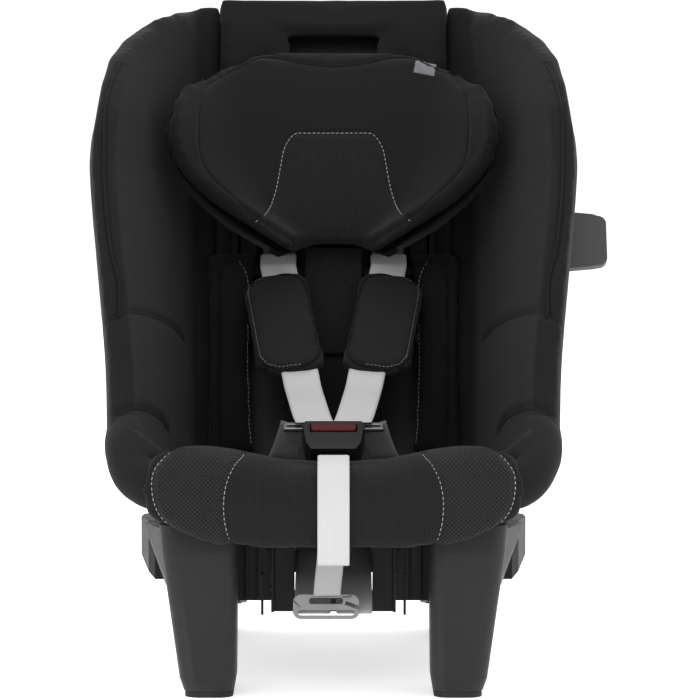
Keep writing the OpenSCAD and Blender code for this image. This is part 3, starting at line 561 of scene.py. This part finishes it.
Pad = namedtuple("Pad", "node body slot cloth inset voxel cap fill")
PADS = [Pad(*row) for row in (
    ("side_bolster_left", "shell", "cover_fabric", COVER_RIB, -1.9, 4.2, 1.5, 0.7),
    ("side_bolster_right", "shell", "cover_fabric", COVER_RIB, -1.9, 4.2, 1.5, 0.7),
    ("upper_back_pad", "shell", "cover_fabric", COVER, -0.6, 4.5, 2.0, 0.6),
    ("back_pad", "shell", "mesh_fabric", MESH, 2.0, 5.0, 4.0, 0.6),
    ("inlay_pad_left", "shell", "inlay_fabric", INLAY, 3.0, 4.5, 6.0, 0.7),
    ("inlay_pad_right", "shell", "inlay_fabric", INLAY, 3.0, 4.5, 6.0, 0.7),
    ("seat_cushion", "shell", "cover_fabric", COVER, 3.0, 6.0, 6.0, 0.7),
    ("apron_pad", "shell", "cover_fabric", RIB_MESH, 2.0, 4.5, 4.0, 0.7),
    ("headrest_pad", "headrest", "cover_fabric", COVER_MESH, 2.0, 4.5, 3.0, 0.75),
    ("neck_flap", "headrest", "mesh_fabric", MESH, 0.2, 2.0, 1.0, 0.3),
    ("shoulder_pad_left", "pad_left", "pad_fabric", PAD, 1.5, 3.5, 3.0, 0.6),
    ("shoulder_pad_right", "pad_right", "pad_fabric", PAD, 1.5, 3.5, 3.0, 0.6),
    ("crotch_pad", "shell", "buckle_plastic", PAD, 0.5, 2.5, 2.0, 0.5),
)]
FLAT_PADS = ("neck_flap",)
PRESSURE = 4.0
CLOTH_FRAMES = 20


def soft_start(node, material, inset, voxel):
    """An evenly divided copy of a CAD solid, drawn in a little so that it can swell."""
    form = bmesh.new()
    form.from_mesh(NODES[node].data)
    bmesh.ops.remove_doubles(form, verts=form.verts, dist=WELD_GAP)
    form.normal_update()
    moves = [v.normal * inset * MM for v in form.verts]
    for v, move in zip(form.verts, moves):
        v.co -= move
    mesh = bpy.data.meshes.new(node + "_soft")
    form.to_mesh(mesh)
    form.free()
    piece = new_object(node + "_soft", mesh, material)
    remesh = piece.modifiers.new("remesh", "REMESH")
    remesh.mode = "VOXEL"
    remesh.voxel_size = voxel * MM
    apply_modifiers(piece)
    smooth(piece.data, 3, (0.5,))
    smooth(piece.data, 24)
    if not piece.data.materials:
        piece.data.materials.append(material)
    return piece


def add_cloth(piece):
    cloth = piece.modifiers.new("cloth", "CLOTH")
    cloth.point_cache.frame_end = CLOTH_FRAMES
    s = cloth.settings
    s.quality = 4
    s.mass = 0.3
    s.tension_stiffness = 12
    s.compression_stiffness = 6
    s.shear_stiffness = 5
    s.bending_stiffness = 0.4
    s.use_pressure = True
    s.uniform_pressure_force = PRESSURE
    s.effector_weights.gravity = 0
    cloth.collision_settings.use_collision = False


def swell(pieces_and_caps):
    """Blows the pads up under pressure, all in one run, and keeps each point within its cap of its start."""
    for piece, _ in pieces_and_caps:
        add_cloth(piece)
    for number in range(1, CLOTH_FRAMES + 1):
        bpy.context.scene.frame_set(number)
    for piece, cap in pieces_and_caps:
        start = coordinates(piece.data)
        apply_modifiers(piece)
        moved = coordinates(piece.data) - start
        far = np.linalg.norm(moved, axis=1, keepdims=True)
        limit = cap * MM
        moved *= limit * np.tanh(far / limit) / np.maximum(far, 1e-9)
        set_coordinates(piece.data, start + moved)
    bpy.context.scene.frame_set(1)


soft = {}
for pad in PADS:
    soft[pad.node] = soft_start(pad.node, pad.cloth, pad.inset, pad.voxel)
swell([(soft[pad.node], pad.cap) for pad in PADS if pad.node not in FLAT_PADS])

# the upper pad is sewn to the wings on both sides
UPPER_PAD_STRETCH = 1.05
wide = coordinates(soft["upper_back_pad"].data)
wide[:, 0] *= UPPER_PAD_STRETCH
set_coordinates(soft["upper_back_pad"].data, wide)
for piece in soft.values():
    smooth(piece.data, 3)
    finer = piece.modifiers.new("finer", "SUBSURF")
    finer.levels = finer.render_levels = 1
    apply_modifiers(piece)


def mirrored(points, sign):
    """Points given for +X, carried over to the side with this sign."""
    return [(p[0] * sign, *p[1:]) for p in points]


def both_halves(points):
    """An outline given for one side, from the middle outwards, with its mirror image joined on."""
    return points[::-1] + mirrored(points[1:], -1)


def mark_panel(piece, inside):
    """Writes how far each vertex is inside a second cloth's panel, in metres, below zero outside."""
    values = np.array([inside(p) for p in coordinates(piece.data) / MM], np.float32) * MM
    piece.data.attributes.new("panel", "FLOAT", "POINT").data.foreach_set("value", values)


def signed_distance(p, outline):
    """Distance of a flat point into a closed outline, below zero outside it."""
    a = np.array(outline, float)
    b = np.roll(a, -1, axis=0)
    edge, to = b - a, np.array(p, float) - a
    share = np.clip((to * edge).sum(1) / (edge * edge).sum(1), 0, 1)
    gap = np.linalg.norm(to - edge * share[:, None], axis=1).min()
    crossing = (a[:, 1] > p[1]) != (b[:, 1] > p[1])
    rise = np.where(np.abs(edge[:, 1]) < 1e-9, 1e-9, edge[:, 1])
    at = a[:, 0] + (p[1] - a[:, 1]) * edge[:, 0] / rise
    return gap if (crossing & (p[0] < at)).sum() % 2 else -gap


# wings: a cross seam divides the upper cover from the ribbed lower side
CROSS_SEAM = [(224, -96, 352), (211, -91, 358), (203, -68, 360), (193, -23, 356), (180, 41, 347),
              (169, 99, 335), (160, 134, 322)]
WING_RIM = [(210, -92, 358), (212, -74, 392), (221, -58, 425), (228, -28, 474), (232, 10, 528),
            (231, 50, 575), (222, 100, 615)]


def below_cross_seam(p):
    """How far a point is below the cross seam, in millimetres."""
    _, depths, heights = zip(*CROSS_SEAM)
    return np.interp(p[1], depths, heights) - p[2]


for side, sign in SIDES:
    wing = soft["side_bolster_" + side]
    mark_panel(wing, below_cross_seam)
    cross = route(wing, mirrored(CROSS_SEAM, sign))
    rim = route(wing, mirrored(WING_RIM, sign))
    for line in (cross, rim):
        groove(wing, line, 0.004, 0.0022)
    piping("wing_seam_" + side, route(wing, mirrored(CROSS_SEAM, sign)), "shell")
    piping("wing_edge_seam_" + side, rim, "shell")

# a hem folds over in each lower corner, and a padded roll carries the cover round it to the apron
FOLD = [(211, -144, 266), (201, -139, 269), (192, -99, 267), (184, -56, 260), (176, -12, 250), (171, 14, 236)]
# the roll's places and radii
CORNER_ROLL = [(199, -84, 262, 4), (201, -110, 257, 11), (202, -136, 249, 16.5), (201, -160, 238, 19.5),
               (196, -182, 224, 21), (187, -200, 211, 21.5), (173, -213, 203, 21.5), (158, -219, 200, 20),
               (146, -221, 199, 18)]
ROLL_STEP = 0.004
ROLL_SIDES = 28
CREASE_DEPTH = 0.0004
CREASE_TURN = 0.45


def corner_roll(name, sign):
    """A tapered roll of cloth along the corner, faintly creased both ways."""
    spine = curve_through(in_metres(mirrored(CORNER_ROLL, sign)), ROLL_STEP)
    facing = Vector((sign, -0.6, 0.3)).normalized()
    frames = frames_along([(Vector(q[:3]), facing) for q in spine])
    points, faces = swept(*frames, disc(1.0, ROLL_SIDES))
    shaped = []
    for i, point in enumerate(points):
        j, k = divmod(i, ROLL_SIDES)
        centre, radius = spine[j][:3], spine[j][3]
        crease = CREASE_DEPTH * math.sin(j * CREASE_TURN) * math.sin(k * CREASE_TURN)
        shaped.append(centre + (point - centre) * (radius + crease))
    return new_object(name, mesh_of(name, shaped, faces), COVER)


for side, sign in SIDES:
    wing = soft["side_bolster_" + side]
    groove(wing, route(wing, mirrored(FOLD, sign)), 0.005, 0.003)
    piping("wing_fold_" + side, route(wing, mirrored(FOLD, sign)), "shell")
    roll = corner_roll("corner_roll_" + side, sign)
    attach(roll, "shell")

# inlay cushions: a rolled rim outside and above, sewn lines inside
INLAY_RIM = [(84, 198, 407), (100, 199, 411), (118, 199, 410), (129, 197, 404), (134, 190, 388),
             (135, 175, 348), (134, 160, 308), (133, 144, 270), (132, 127, 228), (131, 116, 204)]
INLAY_INNER = [(90, 195, 400), (108, 196, 401), (119, 195, 398), (124, 188, 382), (125, 175, 348),
               (124, 160, 308), (123, 144, 270), (122, 127, 228), (121, 117, 208)]
INLAY_SLANT = [(101, 197, 402), (94, 191, 389), (90, 187, 378), (86, 180, 360)]
INLAY_EDGE = [(86, 170, 335), (86, 158, 305), (86, 143, 270), (85, 127, 230), (85, 118, 208)]
for side, sign in SIDES:
    inlay = soft["inlay_pad_" + side]
    groove(inlay, route(inlay, mirrored(INLAY_INNER, sign)), 0.003, 0.003)
    rim = route(inlay, mirrored(INLAY_RIM, sign))
    piping("inlay_rim_" + side, rim, "shell", 0.0048, INLAY, -0.001)
    for name, line in (("slant", INLAY_SLANT), ("edge", INLAY_EDGE)):
        stitches(f"inlay_{name}_stitches_{side}", route(inlay, mirrored(line, sign)), "shell", thick=0.35)

# head support: a face panel inside a rounded border, and a mesh insert
FACE_PANEL = [(0, 609), (-14, 610), (-37, 613), (-66, 619), (-104, 615), (-126, 600), (-137, 578),
              (-140, 549), (-138, 517), (-129, 496), (-108, 475), (-79, 449), (-42, 424)]
INSERT = [(0, 537), (-30, 537), (-42, 536), (-52, 522), (-56, 503), (-61, 477), (-69, 455), (-82, 444)]
INSERT_FOOT = [(-60, 430), (-36, 405)]
INSERT_DEEPEST = 215
insert_outline = INSERT + INSERT_FOOT + mirrored(INSERT_FOOT[::-1], -1) + mirrored(INSERT[:0:-1], -1)
head = soft["headrest_pad"]


def in_head_insert(p):
    """How far a point is inside the mesh insert, in millimetres; the back of the pad has none."""
    return signed_distance((p[0], p[2]), insert_outline) if p[1] < INSERT_DEEPEST else -20


mark_panel(head, in_head_insert)
panel_line = route(head, both_halves(FACE_PANEL))
insert_line = route(head, both_halves(INSERT))
groove(head, panel_line, 0.0035, 0.0025)
groove(head, insert_line, 0.003, 0.0022)
piping("head_panel_seam", route(head, both_halves(FACE_PANEL)), "headrest", 0.0008)
stitches("head_insert_stitches", route(head, both_halves(INSERT)), "headrest")

# apron: a plain middle between two mesh sides
APRON_INNER = [(-85, -205, 236), (-87, -221, 233), (-96, -242, 222), (-102, -249, 203), (-103, -249, 180),
               (-100, -246, 161), (-95, -236, 148)]
APRON_OUTER = [(-140, -208, 240), (-155, -226, 238), (-167, -234, 228), (-171, -238, 215), (-170, -240, 195),
               (-165, -239, 179), (-156, -235, 166)]
ROLL_AXIS = (-213, 190)
apron = soft["apron_pad"]


def in_apron_mesh(p):
    """How far a point is between the two seams of its side, in millimetres."""
    across, down = abs(p[0]), -p[2]
    inner, outer = (np.interp(down, [-z for _, _, z in seam], [-x for x, _, _ in seam])
                    for seam in (APRON_INNER, APRON_OUTER))
    return min(across - inner, outer - across)


mark_panel(apron, in_apron_mesh)
for side, sign in SIDES:
    for name, line in (("inner", APRON_INNER), ("outer", APRON_OUTER)):
        groove(apron, route(apron, mirrored(line, -sign), axis=ROLL_AXIS), 0.0035, 0.0025)
        sewn = route(apron, mirrored(line, -sign), axis=ROLL_AXIS)
        stitches(f"apron_{name}_stitches_{side}", sewn, "shell")

for pad in PADS:
    piece = soft[pad.node]
    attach(piece, pad.body)
    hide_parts(pad.node)

# ---------------------------------------------------------------- harness

# the shoulder webbing runs straight between these two places, in millimetres, and the shoulder pad lies on it
PAD_TOP = np.array((59, 186, 396))
PAD_LOW = np.array((34, 62, 288))
PAD_RUN = PAD_TOP - PAD_LOW
ALONG = PAD_RUN / np.linalg.norm(PAD_RUN)
ACROSS = np.array((1, 0, 0)) - ALONG[0] * ALONG
ACROSS /= np.linalg.norm(ACROSS)
OUT = np.cross(ACROSS, ALONG)
# half sizes and middle of the pad, across and along the webbing, and the height of its outer face
PAD_HALF = np.array((38, 75))
PAD_MIDDLE = np.array((8, 77))
PAD_FACE = 9
UPPER_CORNER = 36
LOWER_CORNER = 26
SEAM_CORNER = 30


def pad_outline(inset, start=0, end=360):
    """Part of the rounded outline of a shoulder pad, in millimetres, drawn in by inset."""
    line = []
    for turn in np.radians(np.arange(start, end + 1, 5)):
        heading = np.array((math.cos(turn), math.sin(turn)))
        spot = np.sign(np.round(heading, 6)) * (PAD_HALF - SEAM_CORNER) + (SEAM_CORNER - inset) * heading
        across, along = PAD_MIDDLE + spot
        line.append(PAD_LOW + ACROSS * across + ALONG * along + OUT * PAD_FACE)
    return line


def round_outer_corners(pad, sign):
    """Turns the two outer corners of a shoulder pad into wide arcs, as a square maps onto a disc."""
    for vertex in pad.data.vertices:
        spot = np.array(vertex.co) / MM * (sign, 1, 1)
        across, along = np.array(((spot - PAD_LOW) @ ACROSS, (spot - PAD_LOW) @ ALONG)) - PAD_MIDDLE
        corner = UPPER_CORNER if along > 0 else LOWER_CORNER
        over = np.array((across, abs(along))) - PAD_HALF + corner
        if min(over) > 0:
            pull = 1 - max(over) / math.hypot(*over)
            spot -= (ACROSS * over[0] + ALONG * math.copysign(over[1], along)) * pull
            vertex.co = spot * (sign, 1, 1) * MM
    pad.data.update()


def laid_on_pad(pad, sign, outline):
    """An outline laid on the outer face of a shoulder pad, as (place, normal) pairs."""
    tree = surface_of(pad)
    outward = Vector(OUT * (sign, 1, 1))
    line = curve_through(in_metres(mirrored(outline, sign)), ROUTE_STEP)
    met = [tree.ray_cast(Vector(q) + outward * 0.03, -outward)[:2] for q in line]
    return [(place, normal) for place, normal in met if place is not None]


for side, sign in SIDES:
    pad = soft["shoulder_pad_" + side]
    round_outer_corners(pad, sign)
    seam = laid_on_pad(pad, sign, pad_outline(5.5))
    groove(pad, seam, 0.003, 0.0016)
    piping("shoulder_pad_seam_" + side, seam, "pad_" + side)
    sewn = laid_on_pad(pad, sign, pad_outline(8.0, -95, 95))
    stitches("shoulder_pad_stitches_" + side, sewn, "pad_" + side, 3.0, 1.2, 0.26)

# a blank woven tag on the upper rim of the head support, in millimetres
TAG_PLACE = (98, 606)
TAG_SIZE = (22, 13)
TAG_TURN = math.radians(-12)
TAG_COLUMNS = 13
TAG_ROWS = 9


def sewn_tag(name, cloth):
    """A tag pressed onto a piece from the front; above the piece's edge it stands up from the row below."""
    tree = surface_of(cloth)
    c, s = math.cos(TAG_TURN), math.sin(TAG_TURN)
    wide, high = TAG_SIZE
    points = []
    for z in np.linspace(-high / 2, high / 2, TAG_ROWS):
        for x in np.linspace(-wide / 2, wide / 2, TAG_COLUMNS):
            spot = Vector(((TAG_PLACE[0] + x * c - z * s) * MM, -1, (TAG_PLACE[1] + x * s + z * c) * MM))
            place, normal, _, _ = tree.ray_cast(spot, Vector((0, 1, 0)))
            if place is None:
                place, normal = Vector((spot.x, points[-TAG_COLUMNS].y + 0.0003, spot.z)), Vector((0, 0, 0))
            points.append(place + normal * 0.0008)
    corners = [j * TAG_COLUMNS + i for j in range(TAG_ROWS - 1) for i in range(TAG_COLUMNS - 1)]
    faces = [(k, k + 1, k + TAG_COLUMNS + 1, k + TAG_COLUMNS) for k in corners]
    tag = new_object(name, mesh_of(name, points, faces), TAG)
    body = tag.modifiers.new("body", "SOLIDIFY")
    body.thickness = 0.0009
    body.offset = -1
    return tag


tag = sewn_tag("head_tag", head)
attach(tag, "headrest")


def in_millimetres(point):
    return tuple(c / MM for c in point)


# the webbing's routes, in millimetres: CHEST from a shoulder pad down to the buckle, OVER from the pad up to
# the slot in the head support, UNDER from the adjuster below and behind the seat, where it isn't seen
CHEST = [PAD_LOW + PAD_RUN * 0.06, PAD_LOW, PAD_LOW - PAD_RUN * 0.1, (28, 24, 268), (22, -24, 254),
         (19, -52, 250)]
OVER = [*(PAD_LOW + PAD_RUN * share for share in (0.08, 0.5, 0.9, 0.98, 1.01)),
        in_millimetres(back_point(59, -22, 155)), in_millimetres(back_point(59, 6, 156))]
HIP = [(38, -38, 246), (43, -36, 230), (52, -28, 210), (70, -4, 202), (94, 26, 199), (124, 60, 198)]
UNDER = [(20, -181, 77), (20, -172, 85), (20, -150, 95), (20, -120, 104), (20, -83, 110), (21, -30, 124),
         (28, 60, 130), (36, 124, 132), (46, 158, 158), (54, 180, 206),
         *(in_millimetres(back_point(59, 14, up)) for up in (-10, 60, 330))]
CROTCH = [(0, -116, 164), (0, -116, 186), (0, -116, 202.5)]
PULL = [(0, -195, 174), (0, -195, 190), (0, -194, 222), (0, -200, 230), (0, -215, 231), (0, -236, 225),
        (0, -249, 208), (0, -253, 184), (0, -252, 160), (0, -248, 140), (0, -246, 132)]
LOWER = [(0, -197.5, 168), (-1, -198, 156), (-3, -194, 130), (-6, -188, 100), (-6, -187, 95)]
for side, sign in SIDES:
    # the real webbing pays out when the head support rises; strap reads nothing from this tuple and only
    # bakes the webbing in place, on no body
    pays_out = ("shell", "headrest", (19 * sign * MM, -0.052, 0.25), tuple(PAD_LOW * (sign * MM, MM, MM)))
    strap("chest_webbing_" + side, mirrored(CHEST, sign), 38, pays_out, "chest_straps")
    strap("shoulder_webbing_" + side, mirrored(OVER, sign), 38, "headrest", "shoulder_strap_" + side)
    # the hip webbing takes the copy painted near black, as painted shadow
    strap("hip_webbing_" + side, mirrored(HIP, sign), 30, "shell", "hip_straps", WEBBING_HIP_PAINTED_SHADOW)
    # the webbing under the seat takes the copy painted darker, as painted shade
    strap("under_webbing_" + side, mirrored(UNDER, sign), 34.6, "shell", "under_straps", WEBBING_PAINTED_SHADE)
# the crotch and lower webbing take the copy painted darker, as painted shade
strap("crotch_webbing", CROTCH, 34, "shell", "crotch_strap", WEBBING_PAINTED_SHADE)
strap("pull_webbing", PULL, 30, "shell", "pull_strap")
strap("lower_webbing", LOWER, 26, "shell", "adjuster_strap", WEBBING_PAINTED_SHADE)

# ---------------------------------------------------------------- CAD pieces that show

HARD = {
    BLACK_PLASTIC: ["base_side_left", "base_side_right", "base_front_web", "base_rear_bars", "tilt_handle",
                    "seat_shell", "runners", "back_cover", "guard_brackets", "belt_guides",
                    "headrest_carriage", "headrest_handle", "leg_hinge_block", "leg_collar", "leg_foot"],
    MATT_PLASTIC: ["headrest_shell"],
    GREY_PLASTIC: ["front_leg_left", "front_leg_right"],
    GUARD_PLASTIC: ["guard_left", "guard_right"],
    BUCKLE_PLASTIC: ["buckle_body"],
    RED_PLASTIC: ["buckle_button", "leg_lock_button"],
    STEEL: ["leg_bracket", "yoke_plate", "adjuster_body", "adjuster_lever", "tongue_left", "tongue_right"],
    STEEL_PIN: ["leg_pivot_pin", "base_screws", "shell_screws", "guide_rods", "guard_pins"],
    ALLOY: ["leg_outer_tube", "leg_inner_tube"],
    RUBBER: ["foot_soles", "leg_foot_sole"],
}
EDGE_ROUND = 0.0009
SHARP_EDGE = math.radians(35)
for material, names in HARD.items():
    for name in names:
        piece = NODES[name]
        piece.data.materials.clear()
        piece.data.materials.append(material)
        weld = piece.modifiers.new("weld", "WELD")
        weld.merge_threshold = WELD_GAP
        bevel = piece.modifiers.new("round", "BEVEL")
        bevel.width = EDGE_ROUND
        bevel.segments = 2
        bevel.limit_method = "ANGLE"
        bevel.angle_limit = SHARP_EDGE
        bevel.harden_normals = True

# ---------------------------------------------------------------- stage

FLOOR_REACH = 6
FLOOR_GLOW = 0.55
SKY_STRENGTH = 1.12

floor_corners = [(x * FLOOR_REACH, y * FLOOR_REACH, 0) for x, y in ((-1, -1), (1, -1), (1, 1), (-1, 1))]
floor_mesh = mesh_of("floor", floor_corners, [(0, 1, 2, 3)])
floor_look = Shader("pale_floor", 0.6)
floor_look.set(floor_look.shader, Base_Color=(0.9, 0.9, 0.9, 1), Emission_Color=(1, 1, 1, 1),
               Emission_Strength=FLOOR_GLOW)
floor = new_object("floor", floor_mesh, floor_look.material)

world = bpy.data.worlds.new("studio")
bpy.context.scene.world = world
world.use_nodes = True
sky = world.node_tree.nodes["Background"]
sky.inputs["Color"].default_value = (1, 1, 1, 1)
sky.inputs["Strength"].default_value = SKY_STRENGTH
bpy.context.scene.view_settings.view_transform = "Standard"


def area_light(name, place, aim, size, power):
    data = bpy.data.lights.new(name, "AREA")
    data.shape = "RECTANGLE"
    data.size, data.size_y = size
    data.energy = power
    lamp = bpy.data.objects.new(name, data)
    bpy.context.scene.collection.objects.link(lamp)
    lamp.location = place
    lamp.rotation_mode = "QUATERNION"
    lamp.rotation_quaternion = (Vector(aim) - Vector(place)).to_track_quat("-Z", "Y")


AIM = (0, 0, 0.4)
area_light("key", (-0.6, -2.6, 2.3), AIM, (1.6, 1.2), 16)
area_light("left", (-2.4, -0.6, 1.0), AIM, (1.2, 1.8), 12)
area_light("right", (2.4, -0.6, 1.0), AIM, (1.2, 1.8), 12)
area_light("top", (0, 0.6, 2.6), AIM, (2.0, 1.4), 12)

# the camera stands in front of the seat and a little above it; VIEW_WIDTH is what it takes in at its distance
FRONT_EDGE = Vector((0, -0.225, 0))
LOOK_DOWN = math.radians(10)
RISE = math.radians(6.16)
DISTANCE = 3.1
VIEW_WIDTH = 0.7 / 1.048
SENSOR_WIDTH = 36
camera_data = bpy.data.cameras.new("camera")
camera_data.sensor_width = SENSOR_WIDTH
camera_data.lens = SENSOR_WIDTH * DISTANCE / VIEW_WIDTH
camera_data.shift_x = 0.0236
camera = bpy.data.objects.new("camera", camera_data)
bpy.context.scene.collection.objects.link(camera)
camera.location = FRONT_EDGE - DISTANCE * Vector((0, math.cos(LOOK_DOWN), -math.sin(LOOK_DOWN)))
camera.rotation_euler = (math.pi / 2 - LOOK_DOWN + RISE, 0, 0)
bpy.context.scene.camera = camera
